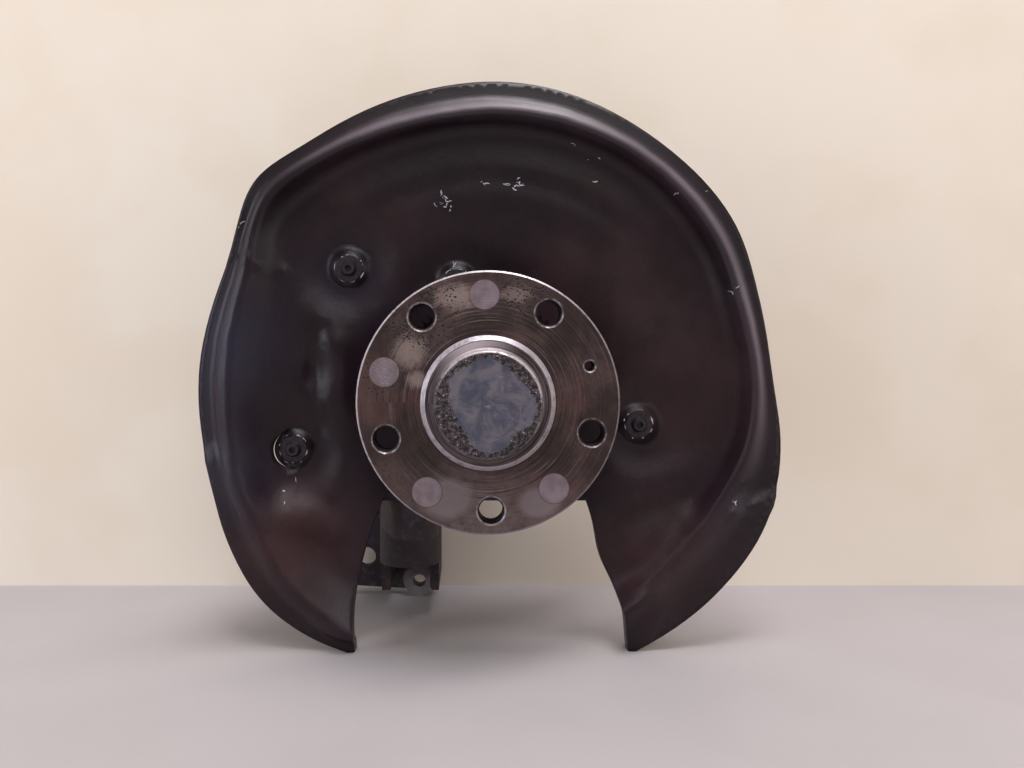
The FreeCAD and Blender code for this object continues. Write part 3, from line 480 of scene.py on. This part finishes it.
looks = {
    "forged_steel": flange_look(),
    "cap_steel": cap_look(),
    "black_paint": shield_look(),
    "carrier_iron": iron_look(),
    "bearing_steel": metal_look("bearing_steel", tone(198, 198, 202), tone(168, 166, 170), 0.18, 1.0),
    "plated_steel": metal_look("plated_steel", tone(172, 168, 160), tone(112, 100, 88), 0.38),
    "dark_steel": metal_look("dark_steel", tone(44, 36, 43), tone(18, 12, 17), 0.45, 0.2, 500.0),
    "chipped_paint": metal_look("chipped_paint", tone(196, 190, 200), tone(150, 142, 152), 0.5, 0.2, 700.0),
    "cage_plastic": soft_look("cage_plastic", tone(176, 146, 104), tone(150, 120, 82), 0.45, 500),
    "black_plastic": soft_look("black_plastic", tone(52, 50, 52), tone(34, 33, 35), 0.45, 700),
    "seal_rubber": soft_look("seal_rubber", tone(44, 42, 42), tone(30, 29, 30), 0.6, 600),
    "bush_rubber": soft_look("bush_rubber", tone(50, 47, 46), tone(32, 30, 30), 0.7, 400),
}

for part in frame["record"]["subparts"]:
    piece = nodes[part["node"]]
    piece.data.materials.clear()
    piece.data.materials.append(looks[part["material_slot"]])


# Dents and folds of the used shield: a line of (x, z) places, how wide the form is, and how
# far it comes towards the wheel (below 0) or goes away from it
shield_folds = (
    (((-0.1524, -0.0371), (-0.1399, -0.0519), (-0.1240, -0.0621), (-0.1058, -0.0678), (-0.0859, -0.0746)),
     0.014, -0.0030),
    (((-0.0967, 0.0378), (-0.0990, 0.0094), (-0.0956, -0.0190)), 0.007, 0.0018),
    (((-0.0859, 0.0293), (-0.0831, -0.0019)), 0.012, -0.0016),
    (((-0.1445, 0.0799), (-0.1314, 0.0765), (-0.1143, 0.0708)), 0.005, -0.0012),
    (((0.1370, -0.0640), (0.1600, -0.0580)), 0.006, -0.0030),
    (((0.1400, -0.0520), (0.1600, -0.0470)), 0.006, 0.0016),
    (((0.1389, -0.0658), (0.1216, -0.0836), (0.1077, -0.1003), (0.0977, -0.1159), (0.0899, -0.1304)),
     0.007, -0.0020),
    (((-0.0420, 0.0520), (-0.0340, 0.0580)), 0.009, -0.0012),
    (((0.0850, -0.0850), (0.1100, -0.0700)), 0.016, -0.0022),
    (((-0.1250, 0.0950), (-0.1050, 0.1150)), 0.016, 0.0016),
)

# Radii that folds leave free, round the axle and round each screw, and how far they fade in
fold_free_r = 0.062
fold_fade = 0.010
screw_free_r = 0.013
screw_fade = 0.008

# The rim's rolled crest, softer than in the solids: how far it moves in, how far back it
# drops, how far it fades into the plate, and its brim as shares of width and depth
crest_shift = 0.004
crest_drop = 0.0042
crest_blend = 0.004
soft_brim = ((0.0, 0.0), (0.12, 0.08), (0.25, 0.34), (0.40, 0.68), (0.55, 0.85), (0.80, 0.95), (1.0, 1.0))

# Where the rim runs, and where its crest and outer edge are looked for
rim_first_deg = -54
rim_last_deg = 238
rim_step_deg = 2
rim_fade_deg = 8
rim_inner_r = 0.138
rim_outer_r = 0.185
rim_step_r = 0.0005

# Where on the brim the crest's painted highlight and dust lie, as a share of its width, and how wide
crest_band_share = 0.22
crest_band_width = 0.20

# Corners nearer than this are joined, and edges sharper than this stay sharp
weld_gap = 0.00001
sharp_deg = 50

# Worn marks: how far they stand off the paint, half their width, the length of scratches,
# and the radius of the rings worn round the screws
mark_lift = 0.00012
mark_half = (0.00012, 0.00042)
scratch_length = (0.0006, 0.0040)
worn_ring_r = (0.0078, 0.0087)


def line_distance(x, z, line):
    """Distance of each place from a line of straight runs."""
    found = np.full(len(x), np.inf)
    for (x0, z0), (x1, z1) in zip(line, line[1:]):
        run_x, run_z = x1 - x0, z1 - z0
        along = ((x - x0) * run_x + (z - z0) * run_z) / (run_x ** 2 + run_z ** 2)
        along = np.clip(along, 0.0, 1.0)
        found = np.minimum(found, np.hypot(x - x0 - along * run_x, z - z0 - along * run_z))
    return found


def surface_y(tree, x, z):
    """y of the front of a surface at a place, or None where there is none."""
    hit = tree.ray_cast(Vector((x, -0.1, z)), Vector((0, 1, 0)))[0]
    return None if hit is None else hit.y


def rim_lines(tree):
    """Angles round the rim with the radius and y of its crest and of its outer edge."""
    lines = []
    for angle in range(rim_first_deg, rim_last_deg + 1, rim_step_deg):
        turn = math.radians(angle)
        found = []
        for radius in np.arange(rim_inner_r, rim_outer_r, rim_step_r):
            y = surface_y(tree, radius * math.cos(turn), radius * math.sin(turn))
            if y is not None:
                found.append((y, radius))
        crest_y, crest_r = min(found)
        edge_y, edge_r = found[-1]
        lines.append((angle, crest_r, crest_y, edge_r, edge_y))
    return np.array(lines).T


def soften_crest(places, tree):
    """Moves the rim's crest inwards and rounds its brim; gives how much of the crest's painted highlight and
    dust each place takes.
    """
    angles, crest_r, crest_y, edge_r, edge_y = rim_lines(tree)
    x, z = places[:, 0], places[:, 2]
    radius = np.hypot(x, z)
    angle = (np.degrees(np.arctan2(z, x)) + 90) % 360 - 90
    new_r = np.interp(angle, angles, crest_r) - crest_shift
    new_y = np.interp(angle, angles, crest_y) + crest_drop
    last_r = np.interp(angle, angles, edge_r)
    last_y = np.interp(angle, angles, edge_y)
    share = np.clip((radius - new_r) / (last_r - new_r), 0.0, 1.0)
    widths, depths = zip(*soft_brim)
    target = new_y + (last_y - new_y) * np.interp(share, widths, depths)
    from_end = np.minimum(angle - rim_first_deg, rim_last_deg - angle)
    kept = np.clip(from_end / rim_fade_deg, 0.0, 1.0)
    kept *= np.clip((radius - new_r + crest_blend) / crest_blend, 0.0, 1.0)
    for i in np.nonzero(kept > 0)[0]:
        old = surface_y(tree, x[i], z[i])
        old = last_y[i] if old is None else old
        places[i, 1] += (target[i] - old) * kept[i]
    return kept * np.exp(-((share - crest_band_share) / crest_band_width) ** 2)


def dress_shield():
    """The shield's own mesh with its crest softened, and its dents and folds pressed in."""
    shape = bmesh.new()
    shape.from_mesh(nodes["splash_shield"].data)
    bmesh.ops.remove_doubles(shape, verts=shape.verts, dist=weld_gap)
    mesh = bpy.data.meshes.new("dressed_shield")
    shape.to_mesh(mesh)
    shape.free()
    places = np.empty(len(mesh.vertices) * 3)
    mesh.vertices.foreach_get("co", places)
    places = places.reshape(-1, 3)
    old_tree = BVHTree.FromObject(nodes["splash_shield"], bpy.context.evaluated_depsgraph_get())
    crest_dust_and_sheen = soften_crest(places, old_tree)
    # The crest's painted highlight and dust, kept on the mesh for the paint
    mesh.attributes.new("crest_dust_and_sheen", "FLOAT", "POINT").data.foreach_set("value", crest_dust_and_sheen)
    x, z = places[:, 0], places[:, 2]
    kept = np.clip((np.hypot(x, z) - fold_free_r) / fold_fade, 0.0, 1.0)
    for screw_x, screw_z in fixings:
        away = np.hypot(x - screw_x, z - screw_z)
        kept = np.minimum(kept, np.clip((away - screw_free_r) / screw_fade, 0.0, 1.0))
    for line, width, depth in shield_folds:
        off = np.minimum(line_distance(x, z, line) / width, 1.0)
        places[:, 1] += depth * (1 - off ** 2) ** 2 * kept
    mesh.vertices.foreach_set("co", places.ravel())
    mesh.materials.append(looks["black_paint"])
    mesh.shade_smooth()
    mesh.set_sharp_from_angle(angle=math.radians(sharp_deg))
    piece = bpy.data.objects.new("dressed_shield", mesh)
    bpy.context.scene.collection.objects.link(piece)
    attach(piece, "carrier")
    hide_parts("splash_shield")
    return piece


def strokes(name, tree, lines):
    """Thin worn marks lying on the shield; each line is a list of (x, z, half width)."""
    vertices = []
    faces = []
    for line in lines:
        edges = []
        for i, (x, z, half) in enumerate(line):
            before = line[max(i - 1, 0)]
            after = line[min(i + 1, len(line) - 1)]
            along = Vector((after[0] - before[0], after[1] - before[1])).normalized()
            for side in (-1, 1):
                place_x = x - along.y * half * side
                place_z = z + along.x * half * side
                edges.append((place_x, surface_y(tree, place_x, place_z), place_z))
        # A mark that runs off the shield is left out
        if any(y is None for _, y, _ in edges):
            continue
        first = len(vertices)
        vertices += [(place_x, y - mark_lift, place_z) for place_x, y, place_z in edges]
        for at in range(first, len(vertices) - 2, 2):
            faces.append((at, at + 1, at + 3, at + 2))
    mesh = bpy.data.meshes.new(name)
    mesh.from_pydata(vertices, [], faces)
    mesh.materials.append(looks["chipped_paint"])
    piece = bpy.data.objects.new(name, mesh)
    bpy.context.scene.collection.objects.link(piece)
    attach(piece, "carrier")


def scratch_lines(chance, places):
    """Short bent scratches and specks scattered round a few places: x, z, reach and count."""
    steps = 4
    lines = []
    for x, z, reach, count in places:
        for _ in range(count):
            at_x = x + chance.gauss(0, reach / 2)
            at_z = z + chance.gauss(0, reach / 2)
            heading = chance.uniform(0, math.tau)
            length = chance.uniform(*scratch_length)
            half = chance.uniform(*mark_half)
            line = []
            for i in range(steps + 1):
                swell = math.sin(math.pi * (0.12 + 0.76 * i / steps))
                line.append((at_x, at_z, half * swell * chance.uniform(0.6, 1.2)))
                heading += chance.gauss(0, 0.45)
                at_x += math.cos(heading) * length / steps
                at_z += math.sin(heading) * length / steps
            lines.append(line)
    return lines


def worn_ring_lines(chance):
    """Broken arcs of bare metal where each screw's flange has worn the paint away."""
    steps = 6
    lines = []
    for x, z in fixings:
        angle = chance.uniform(0, math.tau)
        turned = 0.0
        while turned < math.tau:
            sweep = chance.uniform(0.08, 0.55)
            radius = chance.uniform(*worn_ring_r)
            half = chance.uniform(*mark_half)
            line = []
            for i in range(steps + 1):
                swell = math.sin(math.pi * (0.1 + 0.8 * i / steps)) * chance.uniform(0.5, 1.3)
                at = angle + sweep * i / steps
                bent = radius + chance.gauss(0, 0.0001)
                line.append((x + bent * math.cos(at), z + bent * math.sin(at), half * swell))
            lines.append(line)
            gap = chance.uniform(0.05, 0.75)
            angle += sweep + gap
            turned += sweep + gap
    return lines


shield = dress_shield()
shield_tree = BVHTree.FromObject(shield, bpy.context.evaluated_depsgraph_get())
chance = random.Random(7)
scratch_places = ((-0.0240, 0.1120, 0.0055, 13), (0.0170, 0.1195, 0.0040, 10), (-0.0020, 0.1215, 0.0030, 3),
                  (0.1380, 0.0600, 0.0020, 3), (0.1380, -0.0560, 0.0020, 2), (-0.1380, 0.0960, 0.0020, 2),
                  (0.1150, 0.1150, 0.0150, 4), (-0.0180, 0.0735, 0.0022, 5), (0.0600, 0.1400, 0.0200, 4),
                  (-0.1080, -0.0500, 0.0100, 3), (0.0700, -0.0150, 0.0030, 3))
strokes("paint_scratches", shield_tree, scratch_lines(chance, scratch_places))
strokes("worn_screw_rings", shield_tree, worn_ring_lines(chance))


def make_sheet(name, near, far, look):
    """A sheet as wide as the stage, from a near edge to a far one, each given as (y, z)."""
    corners = [(side * stage_reach, y, z) for side, (y, z) in ((-1, near), (1, near), (1, far), (-1, far))]
    mesh = bpy.data.meshes.new(name)
    mesh.from_pydata(corners, [], [(0, 1, 2, 3)])
    sheet = bpy.data.objects.new(name, mesh)
    mesh.materials.append(look)
    bpy.context.scene.collection.objects.link(sheet)


def floor_look():
    """Pale grey floor with a faint mottle."""
    look = Look("floor", roughness=0.6)
    mottle = look.noise(14, 3, 0.5)
    plain = tone(166, 160, 162)
    shade = [c * 0.965 for c in plain[:3]] + [1.0]
    return look.finish(look.blend(look.rise(mottle, 0.35, 0.65), plain, shade))


def wall_look():
    """Pale wall that shows only from the front, so views from behind aren't blocked."""
    look = Look("wall", roughness=0.8)
    mottle = look.noise(9, 3, 0.5)
    colour = look.blend(look.rise(mottle, 0.35, 0.65), tone(232, 221, 207), tone(228, 215, 198))
    look.finish(colour)
    clear = look.nodes.new("ShaderNodeBsdfTransparent")
    mix = look.nodes.new("ShaderNodeMixShader")
    side = look.nodes.new("ShaderNodeNewGeometry")
    look.put(mix.inputs[0], side.outputs["Backfacing"])
    look.put(mix.inputs[1], look.shader.outputs[0])
    look.put(mix.inputs[2], clear.outputs[0])
    look.put(look.nodes["Material Output"].inputs["Surface"], mix.outputs[0])
    return look.material


make_sheet("floor", (-stage_reach, floor_z), (stage_reach, floor_z), floor_look())
make_sheet("wall", (wall_y, floor_z), (wall_y, wall_top_z), wall_look())


def add_lamp(name, place, size, power, colour):
    """A soft lamp that points at the hub's centre; its size is in metres and its power in watts."""
    lamp = bpy.data.lights.new(name, "AREA")
    lamp.shape = "RECTANGLE"
    lamp.size, lamp.size_y = size
    lamp.energy = power
    lamp.color = colour
    holder = bpy.data.objects.new(name, lamp)
    holder.location = place
    holder.rotation_mode = "QUATERNION"
    holder.rotation_quaternion = (-Vector(place)).to_track_quat("-Z", "Y")
    bpy.context.scene.collection.objects.link(holder)


add_lamp("top_softbox", (0.35, -0.25, 1.9), (1.8, 0.6), 52.0, (1.0, 0.97, 0.98))
add_lamp("left_window", (-1.3, -0.60, 0.35), (0.6, 0.8), 7.5, (0.90, 0.94, 1.0))
add_lamp("right_fill", (1.3, -0.60, 0.30), (0.9, 0.9), 4.0, (1.0, 0.96, 0.92))
add_lamp("front_fill", (0.3, -1.5, 1.30), (1.2, 0.6), 8.0, (1.0, 0.98, 0.96))

world = bpy.data.worlds.new("world")
world.use_nodes = True
sky = world.node_tree.nodes["Background"]
sky.inputs["Color"].default_value = sky_tone
sky.inputs["Strength"].default_value = sky_strength
bpy.context.scene.world = world
bpy.context.scene.view_settings.view_transform = "Standard"

camera = bpy.data.objects.new("camera", bpy.data.cameras.new("camera"))
camera.data.lens = camera_lens
camera.data.sensor_width = camera_sensor
camera.data.shift_x, camera.data.shift_y = camera_shift
camera.data.clip_start = camera_near
camera.location = camera_place
camera.rotation_euler = (math.pi / 2, 0.0, 0.0)
bpy.context.scene.collection.objects.link(camera)
bpy.context.scene.camera = camera
